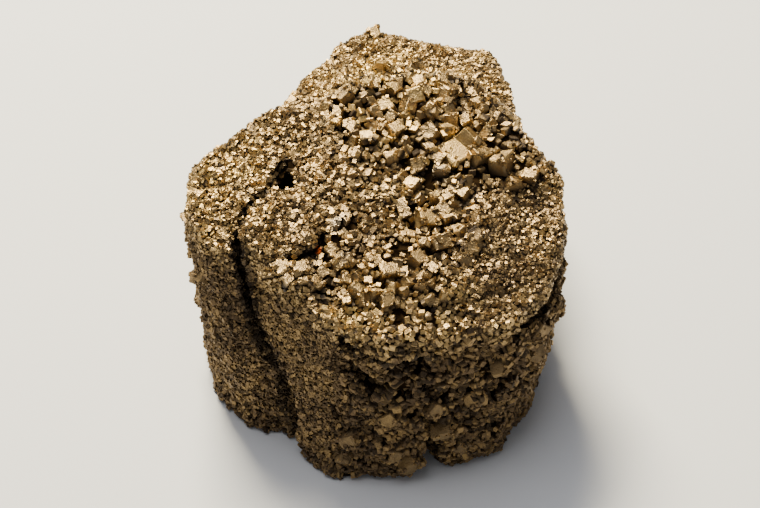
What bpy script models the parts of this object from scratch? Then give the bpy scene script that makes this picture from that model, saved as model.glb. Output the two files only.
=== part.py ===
"""A pyrite specimen: three blocky masses grown together into one, crusted all over with
cube-shaped crystals, with a crack, a hole and pits between them.

Lengths below are millimetres. +Z is up, +Y points away from the front face and +X to its right.
The finished piece stands on its flat underside, with its origin under the middle of its box.
"""

import math
import random

import bmesh
import bpy
from mathutils import Matrix, Vector, noise
from mathutils.bvhtree import BVHTree

MM = 0.001

# ---------------------------------------------------------------- driving dimensions
# The top of the front masses is one slope: high at the back and left, low at the front.
TOP_HEIGHT = 39.3
TOP_RISE_BACK = 0.33
TOP_RISE_LEFT = 0.09
LEFT_DROP = 0.9
REAR_TOP_HEIGHT = 30.0
REAR_RISE_BACK = 0.05
REAR_MIDDLE = 25.0

# The masses run on below the level of the cut at their foot, and swell a little at their waist.
CUT_DEPTH = 4.0
WAIST_HEIGHT = 0.42
WAIST_BULGE = 1.02

# Each mass is a ring of upright corners: where the corner stands, and where its top is.
MAIN_CORNERS = (
    ((0.4, -27.4), (-5.4, -23.6)),
    ((6.2, -26.4), (3.0, -25.0)),
    ((12.8, -24.4), (12.0, -24.0)),
    ((18.4, -22.0), (21.0, -20.0)),
    ((22.8, -15.6), (25.0, -16.6)),
    ((25.4, -6.0), (28.6, -5.8)),
    ((26.2, 2.0), (28.0, 3.4)),
    ((24.0, 8.0), (23.2, 6.8)),
    ((21.6, 14.0), (20.6, 12.4)),
    ((15.6, 18.6), (15.0, 17.0)),
    ((6.0, 20.6), (7.0, 18.4)),
    ((-6.0, 18.0), (-5.4, 14.4)),
    ((-15.0, 11.0), (-13.6, 10.8)),
    ((-18.0, -2.0), (-16.6, -1.0)),
    ((-15.6, -14.0), (-21.0, -10.8)),
    ((-13.6, -22.6), (-17.2, -14.4)),
    ((-8.0, -27.6), (-11.6, -18.8)),
)
LEFT_CORNERS = (
    ((-13.4, -18.4), (-18.2, -12.4)),
    ((-16.8, -19.4), (-21.8, -12.6)),
    ((-21.0, -18.2), (-26.2, -11.0)),
    ((-26.2, -11.8), (-28.6, -7.6)),
    ((-27.8, -6.0), (-28.8, -1.0)),
    ((-27.0, 2.6), (-26.0, 3.6)),
    ((-22.6, 7.8), (-20.4, 7.6)),
    ((-16.0, 12.2), (-16.4, 11.4)),
    ((-9.0, 13.0), (-10.0, 13.4)),
    ((-8.0, -4.0), (-10.0, -2.0)),
)
REAR_CORNERS = (
    ((-12.6, 8.0), (-12.6, 8.0)),
    ((22.0, 8.0), (22.4, 10.0)),
    ((22.2, 20.0), (23.0, 20.0)),
    ((19.2, 31.0), (21.6, 31.4)),
    ((17.0, 36.0), (18.9, 39.2)),
    ((8.0, 38.0), (8.8, 41.2)),
    ((-0.8, 41.2), (-0.8, 44.4)),
    ((-7.0, 37.6), (-7.6, 39.6)),
    ((-12.2, 30.6), (-12.9, 32.0)),
    ((-15.6, 23.6), (-16.4, 25.0)),
)

# Lower ledges that stand out of the faces: middle, size across, turned about Z, tipped forward.
LEDGES = (
    ((23.2, -10.4, 22.6), (8.0, 8.0, 6.5), 24.0, 10.0),
    ((20.6, -9.0, 12.0), (9.0, 9.0, 10.0), 40.0, 6.0),
    ((1.6, -22.6, 5.0), (7.0, 8.0, 9.0), 8.0, 12.0),
    ((13.0, -21.0, 6.0), (12.0, 6.0, 10.0), 14.0, -8.0),
    ((-21.0, -9.6, 16.0), (10.0, 9.0, 16.0), 34.0, 4.0),
    ((19.4, 22.0, 14.0), (8.0, 16.0, 18.0), 6.0, 5.0),
    ((-10.6, 24.0, 12.0), (9.0, 12.0, 20.0), -28.0, 8.0),
    ((-1.0, 38.6, 14.0), (9.0, 8.0, 16.0), 40.0, 5.0),
    ((10.6, 36.0, 18.0), (8.0, 7.0, 10.0), -14.0, 12.0),
)

# Growth steps on the sloping top: an outline seen from above, and how far it stands proud.
TERRACES = (
    (((-20.4, -10.2), (-17.6, -14.0), (-13.2, -13.4), (-9.4, -11.6), (-9.0, -7.8), (-11.8, -4.6),
      (-17.0, -6.2)), 1.7),
    (((-8.6, -4.0), (-2.4, -3.6), (2.6, -5.0), (5.6, -1.0), (9.0, 4.0), (6.0, 15.0), (-4.0, 12.4),
      (-8.4, 6.0)), 0.9),
    (((7.0, -14.0), (11.0, -17.4), (17.0, -17.0), (20.6, -12.0), (19.6, -6.0), (12.6, -4.6),
      (8.4, -8.0)), 0.7),
    (((14.0, 4.0), (19.6, 3.0), (25.0, 2.0), (21.0, 9.6), (17.0, 13.6), (12.0, 11.0)), 0.8),
)

TERRACE_ROOT = 3.0

# The crack between the left mass and the main one: points on its way, with width and depth.
CRACK = (
    ((-14.6, 1.6, 41.5), 0.5, 3.0),
    ((-17.3, -2.7, 40.2), 0.4, 2.2),
    ((-19.8, -5.5, 39.4), 0.45, 2.6),
    ((-21.3, -9.2, 38.2), 0.55, 3.2),
    ((-21.2, -12.2, 36.0), 0.6, 3.4),
    ((-20.4, -13.8, 31.0), 0.55, 3.4),
    ((-19.4, -15.2, 25.5), 0.65, 3.6),
    ((-18.0, -16.8, 20.5), 1.3, 4.4),
    ((-15.2, -18.8, 15.0), 2.3, 5.2),
    ((-14.6, -20.4, 10.0), 2.9, 5.6),
    ((-15.0, -21.4, 5.0), 2.5, 4.8),
    ((-15.4, -22.0, -3.0), 1.7, 3.6),
)
# The deep notch under the right rim, and the one that runs out at the foot.
RIGHT_NOTCH = (
    ((28.0, -3.0, 28.6), 1.2, 2.4),
    ((27.0, -9.0, 28.4), 2.2, 3.6),
    ((25.6, -13.0, 28.0), 2.4, 3.8),
    ((23.2, -17.6, 27.0), 2.0, 3.2),
    ((20.6, -20.4, 26.0), 1.2, 2.0),
)
FOOT_NOTCH = (
    ((8.2, -25.2, 9.0), 0.8, 1.6),
    ((7.6, -25.0, 5.0), 2.0, 4.0),
    ((7.4, -24.6, -3.0), 3.0, 4.6),
)
# The gap under the edge of the left growth step.
LEDGE_GAP = (
    ((-15.0, -14.4, 36.2), 0.3, 1.0),
    ((-12.8, -13.9, 36.0), 0.5, 1.6),
    ((-10.6, -13.1, 36.2), 0.6, 1.8),
    ((-8.9, -11.9, 36.4), 0.7, 2.0),
    ((-8.4, -9.8, 37.0), 0.5, 1.4),
    ((-8.6, -7.8, 37.8), 0.3, 1.0),
)
# Hollows in the front face, under its rim.
FRONT_HOLLOWS = (
    (((-6.4, -24.4, 30.2), 0.6, 1.4), ((-5.2, -24.8, 28.6), 1.4, 2.8),
     ((-4.2, -25.0, 26.8), 0.7, 1.6)),
    (((-4.0, -25.0, 23.6), 1.0, 1.8), ((-2.6, -25.0, 22.2), 1.8, 3.2),
     ((-1.2, -25.0, 20.4), 0.9, 1.8)),
    (((3.2, -25.2, 26.0), 0.7, 1.6), ((5.2, -25.0, 25.6), 1.5, 2.8),
     ((7.0, -24.8, 24.6), 0.7, 1.6)),
    (((0.4, -25.2, 19.2), 0.8, 1.6), ((2.2, -25.2, 18.4), 1.3, 2.4)),
)
GROOVES = (CRACK, RIGHT_NOTCH, FOOT_NOTCH, LEDGE_GAP, *FRONT_HOLLOWS)
GROOVE_CLEARANCE = 1.5
GROOVE_FOLLOW = 0.8
GROOVE_TAPER = 0.2
WEDGE_OVERLAP = 0.25

# Pits that go in between the crystals: middle seen from above, width and depth.
PIT_SIDES = 6
PIT_CLEARANCE = 1.5
PIT_FOOT = 0.28
PIT_MOUTH = 0.62
PIT_UNEVENNESS = 0.14
PITS = (
    (-14.3, -1.0, 2.9, 9.0),
    (-13.6, 1.6, 1.4, 5.0),
    (7.7, 13.5, 2.0, 2.6),
    (13.1, 12.7, 1.8, 2.4),
    (0.2, 9.7, 1.8, 2.6),
    (7.1, 3.0, 1.9, 2.8),
    (15.6, 2.3, 2.2, 2.6),
    (2.8, 14.5, 1.4, 2.0),
    (6.4, -7.9, 1.7, 2.4),
    (8.0, -11.6, 1.8, 2.6),
    (6.8, -3.4, 1.6, 2.2),
    (5.9, -15.2, 1.5, 2.4),
    (13.4, -2.9, 1.6, 2.0),
)

# The crystals large enough to know one by one, on the top: place seen from above, the three
# edge lengths, the turn about the upright, and how far the crystal leans and to which side.
LARGE_CRYSTALS = (
    ((11.4, 4.8), (4.6, 4.2, 3.4), 42.0, 16.0, 250.0),
    ((15.0, 3.9), (2.8, 2.6, 3.0), 36.0, 24.0, 300.0),
    ((5.1, 12.7), (2.8, 2.6, 2.8), 20.0, 38.0, 200.0),
    ((10.2, 14.2), (2.6, 2.8, 3.0), 50.0, 30.0, 320.0),
    ((6.2, 15.6), (2.0, 2.2, 2.4), 12.0, 25.0, 130.0),
    ((7.4, 10.4), (2.8, 2.6, 2.6), 65.0, 40.0, 240.0),
    ((7.6, 7.2), (2.6, 2.4, 2.8), 30.0, 34.0, 160.0),
    ((10.7, 10.0), (2.2, 2.4, 2.4), 80.0, 28.0, 30.0),
    ((13.4, 9.9), (1.9, 2.0, 2.2), 15.0, 30.0, 100.0),
    ((13.4, 7.0), (3.2, 2.8, 3.2), 55.0, 42.0, 290.0),
    ((10.2, 7.7), (2.0, 2.0, 3.0), 35.0, 22.0, 350.0),
    ((2.4, 6.8), (2.4, 2.0, 2.2), 45.0, 12.0, 270.0),
    ((5.4, 1.9), (2.4, 2.2, 2.2), 25.0, 35.0, 220.0),
    ((18.5, 3.2), (3.4, 3.0, 2.8), 62.0, 26.0, 30.0),
    ((20.2, 0.4), (2.4, 2.2, 2.2), 18.0, 32.0, 300.0),
    ((22.9, 1.7), (2.9, 2.4, 2.0), 70.0, 12.0, 60.0),
    ((7.0, -6.0), (3.4, 2.8, 2.8), 14.0, 20.0, 262.0),
    ((9.3, -4.2), (2.0, 2.0, 2.2), 58.0, 24.0, 190.0),
    ((11.9, -8.3), (1.8, 1.9, 2.0), 40.0, 30.0, 80.0),
    ((9.0, -9.7), (3.4, 2.6, 2.6), 28.0, 34.0, 232.0),
    ((6.4, -10.1), (1.9, 1.9, 2.2), 8.0, 14.0, 250.0),
    ((3.4, -4.7), (1.7, 3.2, 2.6), 24.0, 30.0, 170.0),
    ((5.4, -12.6), (2.4, 2.2, 2.4), 48.0, 22.0, 270.0),
    ((-11.7, -15.1), (2.6, 2.0, 2.0), 22.0, 14.0, 262.0),
    ((-14.4, -15.1), (2.2, 2.0, 2.0), 36.0, 20.0, 200.0),
    ((-16.6, -15.2), (1.8, 1.7, 1.8), 10.0, 26.0, 220.0),
    ((-9.5, -17.0), (2.3, 2.0, 2.0), 30.0, 24.0, 300.0),
    ((-13.6, -16.6), (2.0, 1.9, 2.0), 52.0, 22.0, 230.0),
    ((-11.0, -16.6), (2.2, 1.7, 1.7), 5.0, 10.0, 270.0),
    ((-1.3, -13.5), (2.1, 2.0, 2.0), 44.0, 18.0, 250.0),
    ((1.3, -14.4), (3.2, 2.4, 2.4), 16.0, 16.0, 262.0),
    ((-6.4, -14.0), (2.2, 2.0, 2.0), 34.0, 24.0, 240.0),
    ((-3.6, -17.4), (2.2, 2.0, 2.2), 60.0, 28.0, 280.0),
    ((1.0, -19.0), (2.4, 2.0, 2.2), 26.0, 24.0, 230.0),
    ((-7.2, -11.8), (1.8, 1.6, 1.8), 50.0, 30.0, 190.0),
)

# The same for the front face, where the place is across and up.
FRONT_CRYSTALS = (
    ((14.2, 15.6), (2.8, 2.4, 2.2), 20.0, 24.0, 200.0),
    ((8.0, 15.4), (2.4, 2.2, 2.6), 50.0, 30.0, 120.0),
    ((9.4, 9.6), (3.2, 2.6, 2.4), 12.0, 20.0, 40.0),
    ((4.4, 3.4), (3.4, 2.8, 3.0), 34.0, 26.0, 60.0),
    ((2.2, 6.0), (2.4, 2.2, 2.2), 70.0, 18.0, 150.0),
    ((-4.9, 8.8), (2.8, 2.4, 2.4), 25.0, 14.0, 250.0),
    ((-5.6, 4.6), (2.0, 1.9, 2.2), 60.0, 28.0, 330.0),
    ((12.4, 4.8), (2.6, 2.2, 2.2), 44.0, 22.0, 90.0),
    ((17.8, 20.6), (2.4, 2.0, 2.4), 15.0, 32.0, 20.0),
    ((1.2, 14.0), (2.4, 2.0, 2.0), 38.0, 24.0, 180.0),
)
FRONT = -24.0

# The rest of the coarse crystals: patch on the top (middle, reach), how many, edge lengths.
TOP_PATCHES = (
    ((4.0, 9.0), (13.0, 8.0), 42, (1.4, 2.4)),
    ((0.5, -16.2), (10.5, 3.8), 20, (1.3, 2.0)),
    ((9.0, -7.0), (7.0, 9.0), 18, (1.4, 2.3)),
    ((0.0, 30.0), (18.0, 14.0), 14, (1.6, 2.6)),
)
# Cubes round the sides and back: large ones that are sunk deep, and small ones.
SIDE_BLOCKS = 28
BLOCK_EDGE = (3.4, 6.0)
BLOCK_SINK = 0.34
BLOCK_ARC = (-0.15 * math.pi, 1.15 * math.pi)
BLOCK_HEIGHTS = (3.0, 24.0)
SIDE_CRYSTALS = 60
SIDE_ARC = (-0.28 * math.pi, 1.2 * math.pi)
SIDE_EDGE = (1.4, 2.8)
CRYSTAL_SINK = 0.12
STAND_OFF = 30.0
MOST_LEAN = 0.9
REAR_START = 16.0
TRIES = 3
SIDE_MIDDLE = (-0.6, 8.4)
SIDE_REACH = (27.0, 33.0)
SIDE_HEIGHTS = (2.0, 36.0)

# The blocky body before its crystals: grain of its skin, number of facets, and its lumps as
# pairs of width and depth.
BODY_VOXEL = 0.9
BODY_TRIANGLES = 2100
LUMPS = ((10.0, 0.9), (4.2, 0.55), (2.1, 0.28))
PIT_SEED = 57
CRYSTAL_SEED = 61


# ---------------------------------------------------------------- small helpers
def main_top(x, y):
    return TOP_HEIGHT + TOP_RISE_BACK * y - TOP_RISE_LEFT * x


def left_top(x, y):
    return main_top(x, y) - LEFT_DROP


def rear_top(x, y):
    return REAR_TOP_HEIGHT + REAR_RISE_BACK * (y - REAR_MIDDLE)


def clear_scene():
    for thing in list(bpy.data.objects):
        bpy.data.objects.remove(thing)


def new_object(name, form):
    """An object in the scene from a bmesh that is in millimetres."""
    bmesh.ops.scale(form, vec=(MM, MM, MM), verts=form.verts)
    bmesh.ops.recalc_face_normals(form, faces=form.faces)
    mesh = bpy.data.meshes.new(name)
    form.to_mesh(mesh)
    form.free()
    thing = bpy.data.objects.new(name, mesh)
    bpy.context.collection.objects.link(thing)
    return thing


def apply_modifier(thing, kind, **settings):
    step = thing.modifiers.new(kind.title(), kind)
    for key, value in settings.items():
        setattr(step, key, value)
    graph = bpy.context.evaluated_depsgraph_get()
    mesh = bpy.data.meshes.new_from_object(thing.evaluated_get(graph))
    thing.modifiers.remove(step)
    thing.data = mesh


def combine(thing, others, operation):
    """Joins other objects to this one, or cuts them away, one by one, and removes them.

    The solver is MANIFOLD because EXACT leaves open edges where hundreds of crystals cross.
    """
    for other in others:
        apply_modifier(thing, "BOOLEAN", object=other, operation=operation, solver="MANIFOLD")
        bpy.data.objects.remove(other)


def surface_of(thing):
    form = bmesh.new()
    form.from_mesh(thing.data)
    tree = BVHTree.FromBMesh(form)
    form.free()
    return tree


# ---------------------------------------------------------------- the masses
def ring(form, points):
    return [form.verts.new(point) for point in points]


def bridge(form, low, high):
    for i in range(len(low)):
        j = (i + 1) % len(low)
        form.faces.new((low[i], low[j], high[j], high[i]))


def add_mass(form, corners, top):
    """One blocky mass, from below the cut at its foot, out over its waist, to its sloping top."""
    middle = Vector(map(sum, zip(*(foot for foot, head in corners)))) / len(corners)
    low, waist, high = [], [], []
    for foot, head in corners:
        foot, head = Vector(foot), Vector(head)
        height = top(*head)
        belt = middle + (foot.lerp(head, WAIST_HEIGHT) - middle) * WAIST_BULGE
        low.append((*foot, -CUT_DEPTH))
        waist.append((*belt, height * WAIST_HEIGHT))
        high.append((*head, height))
    rings = [ring(form, points) for points in (low, waist, high)]
    bridge(form, rings[0], rings[1])
    bridge(form, rings[1], rings[2])
    form.faces.new(reversed(rings[0]))
    form.faces.new(rings[2])


def add_ledge(form, middle, size, turn, tip):
    place = Matrix.Translation(middle) @ Matrix.Rotation(math.radians(turn), 4, "Z")
    place = place @ Matrix.Rotation(math.radians(tip), 4, "X") @ Matrix.Diagonal((*size, 1.0))
    bmesh.ops.create_cube(form, size=1.0, matrix=place)


def add_terrace(form, outline, rise):
    """A prism whose top is parallel to the sloping top of the masses."""
    low = ring(form, [(x, y, main_top(x, y) - TERRACE_ROOT) for x, y in outline])
    high = ring(form, [(x, y, main_top(x, y) + rise) for x, y in outline])
    bridge(form, low, high)
    form.faces.new(reversed(low))
    form.faces.new(high)


def lumpiness(point):
    """How far the surface swells at a point, from the sum of a few sizes of lump."""
    return sum(depth * noise.noise(point / width) for width, depth in LUMPS)


def roughen(thing):
    for vertex in thing.data.vertices:
        vertex.co += vertex.normal * lumpiness(vertex.co / MM) * MM


def make_body():
    form = bmesh.new()
    add_mass(form, MAIN_CORNERS, main_top)
    add_mass(form, LEFT_CORNERS, left_top)
    add_mass(form, REAR_CORNERS, rear_top)
    for ledge in LEDGES:
        add_ledge(form, *ledge)
    for outline, rise in TERRACES:
        add_terrace(form, outline, rise)
    bmesh.ops.triangulate(form, faces=form.faces)
    body = new_object("pyrite_cluster", form)
    apply_modifier(body, "REMESH", mode="VOXEL", voxel_size=BODY_VOXEL * MM)
    roughen(body)
    combine(body, make_pits(), "DIFFERENCE")
    apply_modifier(body, "REMESH", mode="VOXEL", voxel_size=BODY_VOXEL * MM)
    apply_modifier(body, "TRIANGULATE")
    apply_modifier(body, "DECIMATE", ratio=BODY_TRIANGLES / len(body.data.polygons))
    return body


# ---------------------------------------------------------------- cracks and pits
def groove_section(spot, width, depth, along, outward):
    """The four corners across a groove: a wide pair outside the surface, a narrow pair inside."""
    inward = -(outward - outward.project(along)).normalized()
    across = along.cross(inward).normalized() * width
    above, below = spot - inward * GROOVE_CLEARANCE, spot + inward * depth
    narrow = across * GROOVE_TAPER
    return above + across, below + narrow, below - narrow, above - across


def make_grooves(surface):
    """Every groove as a chain of wedges along its route, laid on the surface."""
    for route in GROOVES:
        points = [Vector(point) for point, width, depth in route]
        sections = []
        for i, (point, width, depth) in enumerate(route):
            along = (points[min(i + 1, len(points) - 1)] - points[max(i - 1, 0)]).normalized()
            spot, outward = surface.find_nearest(points[i] * MM)[:2]
            spot = points[i].lerp(spot / MM, GROOVE_FOLLOW)
            sections.append(groove_section(spot, width, depth, along, outward))
        for low, high in zip(sections, sections[1:]):
            reach = (high[1] - low[1]).normalized() * WEDGE_OVERLAP
            corners = [point - reach for point in low] + [point + reach for point in high]
            form = bmesh.new()
            bmesh.ops.convex_hull(form, input=ring(form, corners))
            yield new_object("groove", form)


def make_pits():
    """Uneven six-sided spikes that point down from above the top."""
    chance = random.Random(PIT_SEED)
    for x, y, width, depth in PITS:
        form = bmesh.new()
        place = Matrix.Translation((x, y, main_top(x, y) + PIT_CLEARANCE - depth / 2))
        bmesh.ops.create_cone(form, segments=PIT_SIDES, radius1=width * PIT_FOOT,
                              radius2=width * PIT_MOUTH, depth=depth + 2 * PIT_CLEARANCE,
                              cap_ends=True, matrix=place)
        for vertex in form.verts:
            vertex.co.x += chance.uniform(-PIT_UNEVENNESS, PIT_UNEVENNESS) * width
            vertex.co.y += chance.uniform(-PIT_UNEVENNESS, PIT_UNEVENNESS) * width
        yield new_object("pit", form)


# ---------------------------------------------------------------- the crystals
def turned(outward, turn, lean, side):
    """A crystal's attitude: turned about the outward direction, then leaned to one side."""
    upright = outward.to_track_quat("Z", "Y").to_matrix()
    axis = Vector((math.cos(side), math.sin(side), 0.0))
    return upright @ Matrix.Rotation(lean, 3, axis) @ Matrix.Rotation(turn, 3, "Z")


def known_crystals():
    up, forward = Vector((0.0, 0.0, 1.0)), Vector((0.0, -1.0, 0.0))
    for (x, y), edges, turn, lean, side in LARGE_CRYSTALS:
        attitude = turned(up, *map(math.radians, (turn, lean, side)))
        yield Vector((x, y, main_top(x, y))), -up, edges, attitude
    for (x, height), edges, turn, lean, side in FRONT_CRYSTALS:
        attitude = turned(forward, *map(math.radians, (turn, lean, side)))
        yield Vector((x, FRONT, height)), -forward, edges, attitude


def some_edges(chance, limits):
    edge = chance.uniform(*limits) ** 0.5 * chance.uniform(*limits) ** 0.5
    return [edge * chance.uniform(0.85, 1.15) for axis in range(3)]


def any_attitude(chance, outward):
    return turned(outward, chance.uniform(0, math.tau), chance.uniform(0.1, MOST_LEAN),
                  chance.uniform(0, math.tau))


def patch_crystals(chance, middle, reach, count, limits):
    up = Vector((0.0, 0.0, 1.0))
    for _ in range(count * TRIES):
        radius, angle = chance.random() ** 0.6, chance.uniform(0, math.tau)
        x = middle[0] + reach[0] * radius * math.cos(angle)
        y = middle[1] + reach[1] * radius * math.sin(angle)
        height = main_top(x, y) if y < REAR_START else rear_top(x, y)
        yield Vector((x, y, height)), -up, some_edges(chance, limits), any_attitude(chance, up)


def side_crystals(chance, count, limits, arc, heights):
    for _ in range(count * TRIES):
        angle, height = chance.uniform(*arc), chance.uniform(*heights)
        outward = Vector((math.cos(angle), math.sin(angle), 0.0))
        spot = Vector((SIDE_MIDDLE[0] + SIDE_REACH[0] * outward.x,
                       SIDE_MIDDLE[1] + SIDE_REACH[1] * outward.y, height))
        yield spot, -outward, some_edges(chance, limits), any_attitude(chance, outward)


def crystal_groups(chance):
    """Each group of crystals: where they may be, how many, their spacing and how far they sink."""
    known = len(LARGE_CRYSTALS) + len(FRONT_CRYSTALS)
    yield known_crystals(), known, 0.0, CRYSTAL_SINK
    for middle, reach, count, limits in TOP_PATCHES:
        yield patch_crystals(chance, middle, reach, count, limits), count, 0.8, CRYSTAL_SINK
    blocks = side_crystals(chance, SIDE_BLOCKS, BLOCK_EDGE, BLOCK_ARC, BLOCK_HEIGHTS)
    yield blocks, SIDE_BLOCKS, 0.9, BLOCK_SINK
    smaller = side_crystals(chance, SIDE_CRYSTALS, SIDE_EDGE, SIDE_ARC, SIDE_HEIGHTS)
    yield smaller, SIDE_CRYSTALS, 0.6, CRYSTAL_SINK


def crystal_sites():
    """Every crystal as a spot, the way inward, its edges, attitude and how far it is sunk."""
    taken = []
    for group, count, spacing, sink in crystal_groups(random.Random(CRYSTAL_SEED)):
        left = count
        for spot, inward, edges, attitude in group:
            size = sum(edges) / 3
            near = any((spot - other).length < spacing * (size + wide) / 2 for other, wide in taken)
            if left and not near:
                left -= 1
                taken.append((spot, size))
                yield spot, inward, edges, attitude, min(edges) * sink


def make_crystals(surface):
    """Each crystal as a box, sunk a little into the surface it grew on."""
    for spot, inward, edges, attitude, sink in crystal_sites():
        found = surface.ray_cast((spot - inward * STAND_OFF) * MM, inward)[0]
        if found:
            form = bmesh.new()
            place = Matrix.Translation(found / MM + inward * sink) @ attitude.to_4x4()
            bmesh.ops.create_cube(form, size=1.0, matrix=place @ Matrix.Diagonal((*edges, 1.0)))
            yield new_object("crystal", form)


# ---------------------------------------------------------------- finishing
def make_ground():
    """A broad block whose top is the level that the piece stands on."""
    form = bmesh.new()
    place = Matrix.Translation((0.0, 8.0, -10.0)) @ Matrix.Diagonal((120.0, 140.0, 20.0, 1.0))
    bmesh.ops.create_cube(form, size=1.0, matrix=place)
    yield new_object("ground", form)


def keep_largest_shell(body):
    """Drops loose chips and the skins of any pocket closed in by crystals."""
    form = bmesh.new()
    form.from_mesh(body.data)
    unseen, shells = set(form.verts), []
    while unseen:
        shell, edge_of = set(), [unseen.pop()]
        while edge_of:
            vertex = edge_of.pop()
            shell.add(vertex)
            for edge in vertex.link_edges:
                other = edge.other_vert(vertex)
                if other in unseen:
                    unseen.remove(other)
                    edge_of.append(other)
        shells.append(shell)
    largest = max(shells, key=len)
    loose = [vertex for vertex in form.verts if vertex not in largest]
    bmesh.ops.delete(form, geom=loose, context="VERTS")
    bmesh.ops.triangulate(form, faces=form.faces)
    form.to_mesh(body.data)
    form.free()


def centre_on_origin(body):
    places = [vertex.co for vertex in body.data.vertices]
    low = [min(place[axis] for place in places) for axis in range(3)]
    high = [max(place[axis] for place in places) for axis in range(3)]
    shift = Vector(((low[0] + high[0]) / 2, (low[1] + high[1]) / 2, low[2]))
    body.data.transform(Matrix.Translation(-shift))
    print("moved by", [round(value / MM, 3) for value in shift])


def pyrite():
    material = bpy.data.materials.new("pyrite")
    material.use_nodes = True
    surface = material.node_tree.nodes["Principled BSDF"]
    surface.inputs["Base Color"].default_value = (0.42, 0.30, 0.15, 1.0)
    surface.inputs["Metallic"].default_value = 0.9
    surface.inputs["Roughness"].default_value = 0.42
    return material


def build():
    clear_scene()
    body = make_body()
    combine(body, make_grooves(surface_of(body)), "DIFFERENCE")
    combine(body, make_crystals(surface_of(body)), "UNION")
    combine(body, make_ground(), "DIFFERENCE")
    keep_largest_shell(body)
    centre_on_origin(body)
    body.data.materials.clear()
    body.data.materials.append(pyrite())
    print("triangles", len(body.data.polygons))


build()
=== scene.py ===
# %% [markdown]
# # A pyrite specimen
# Pyrite grows as cubes with a brassy metal shine. On this specimen three blocky masses grew into
# each other, and their skin is a druse: a crust of thousands of small crystals, from a third of
# a millimetre to over one across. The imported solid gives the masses, their cracks and pits and
# the largest crystals. This lesson dresses it: first the skin that the crust grows on,
# then the large crystals with sharp edges, then the druse, then the metal finish and the light.

# %% Load the frame
import math
import random

import bmesh
import bpy
import numpy as np
from mathutils import Matrix, Vector, noise
from mathutils.bvhtree import BVHTree
from mathutils.kdtree import KDTree


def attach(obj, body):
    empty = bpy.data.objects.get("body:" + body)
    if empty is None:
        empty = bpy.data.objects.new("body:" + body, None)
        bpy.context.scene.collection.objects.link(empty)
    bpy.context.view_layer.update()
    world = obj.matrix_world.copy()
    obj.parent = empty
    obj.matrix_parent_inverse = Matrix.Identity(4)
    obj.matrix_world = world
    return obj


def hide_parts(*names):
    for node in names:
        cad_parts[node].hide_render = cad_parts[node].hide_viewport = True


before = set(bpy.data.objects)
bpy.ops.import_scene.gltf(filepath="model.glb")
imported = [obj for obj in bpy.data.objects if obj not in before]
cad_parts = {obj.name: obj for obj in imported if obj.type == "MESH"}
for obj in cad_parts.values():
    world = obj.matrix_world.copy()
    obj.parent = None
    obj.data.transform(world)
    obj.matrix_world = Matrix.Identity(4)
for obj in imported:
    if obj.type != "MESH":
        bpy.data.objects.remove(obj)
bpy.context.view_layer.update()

# %% [markdown]
# Lengths below are in millimetres, which suit crystals better than metres do. The specimen was
# laid out round its main block, and the finished solid was then moved to the middle of its
# box. Places on it are given from the main block, and taking MIDDLE away from one gives its
# place in the box. The tops are sloping planes, so a height on them is a simple sum.

# %% Units and the place of the main block
MM = 0.001
MIDDLE = np.array((-0.641, 8.098, 0.0))
SEED = 2024
noise.seed_set(SEED)  # vector noise starts from the clock otherwise
TOP_HEIGHT, TOP_RISE_BACK, TOP_RISE_LEFT = 39.3, 0.33, 0.09
REAR_TOP_HEIGHT, REAR_RISE_BACK, REAR_MIDDLE, REAR_START = 30.0, 0.05, 25.0, 16.0


def main_top(x, y):
    """Height of the sloping top of the main block."""
    return TOP_HEIGHT + TOP_RISE_BACK * y - TOP_RISE_LEFT * x


def rear_top(x, y):
    """Height of the top of the lower mass behind the main block."""
    return REAR_TOP_HEIGHT + REAR_RISE_BACK * (y - REAR_MIDDLE)


print("top of the main block at its middle:", main_top(0.0, 0.0), "mm")

# %% [markdown]
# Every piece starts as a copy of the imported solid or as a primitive. An operator acts on all
# that is selected, and loading leaves the solid selected, so one helper selects one thing.

# %% Selecting and applying
MERGE_WITHIN = 0.001


def only(thing):
    """Selects one object and makes it the active one."""
    bpy.ops.object.select_all(action="DESELECT")
    thing.select_set(True)
    bpy.context.view_layer.objects.active = thing
    return thing


def apply_step(thing, kind, **settings):
    """Adds a modifier with its settings and applies it."""
    only(thing)
    step = thing.modifiers.new(kind.title(), kind)
    for key, value in settings.items():
        setattr(step, key, value)
    bpy.ops.object.modifier_apply(modifier=step.name)
    return thing


def copy_solid(name):
    """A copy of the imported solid, its loose triangles joined at their corners."""
    source = bpy.data.objects["pyrite_cluster"]
    thing = bpy.data.objects.new(name, source.data.copy())
    bpy.context.scene.collection.objects.link(thing)
    thing.data.materials.clear()
    only(thing)
    bpy.ops.object.mode_set(mode="EDIT")
    bpy.ops.mesh.select_all(action="SELECT")
    bpy.ops.mesh.remove_doubles(threshold=MERGE_WITHIN * MM)
    bpy.ops.object.mode_set(mode="OBJECT")
    return thing


def places(mesh, field="co"):
    """Positions or normals of a mesh's vertices as an array."""
    found = np.empty(len(mesh.vertices) * 3)
    mesh.vertices.foreach_get(field, found)
    return found.reshape(-1, 3)


def move_corners(thing, spots):
    """Puts an object's corners at other places."""
    thing.data.vertices.foreach_set("co", spots.ravel())
    thing.data.update()


only(bpy.data.objects["pyrite_cluster"])
bpy.ops.object.select_all(action="DESELECT")

# %% [markdown]
# A druse is never even: its crystals stand in clumps with creases between them, and on the front
# the clumps are blocks that stand out by different amounts. Sculpting could give such a surface,
# but it can't be measured or repeated. Here it is a sum: smooth noise at two widths gives lumps,
# and the distance to the border between two Voronoi cells gives clumps with sharp creases.

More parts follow.
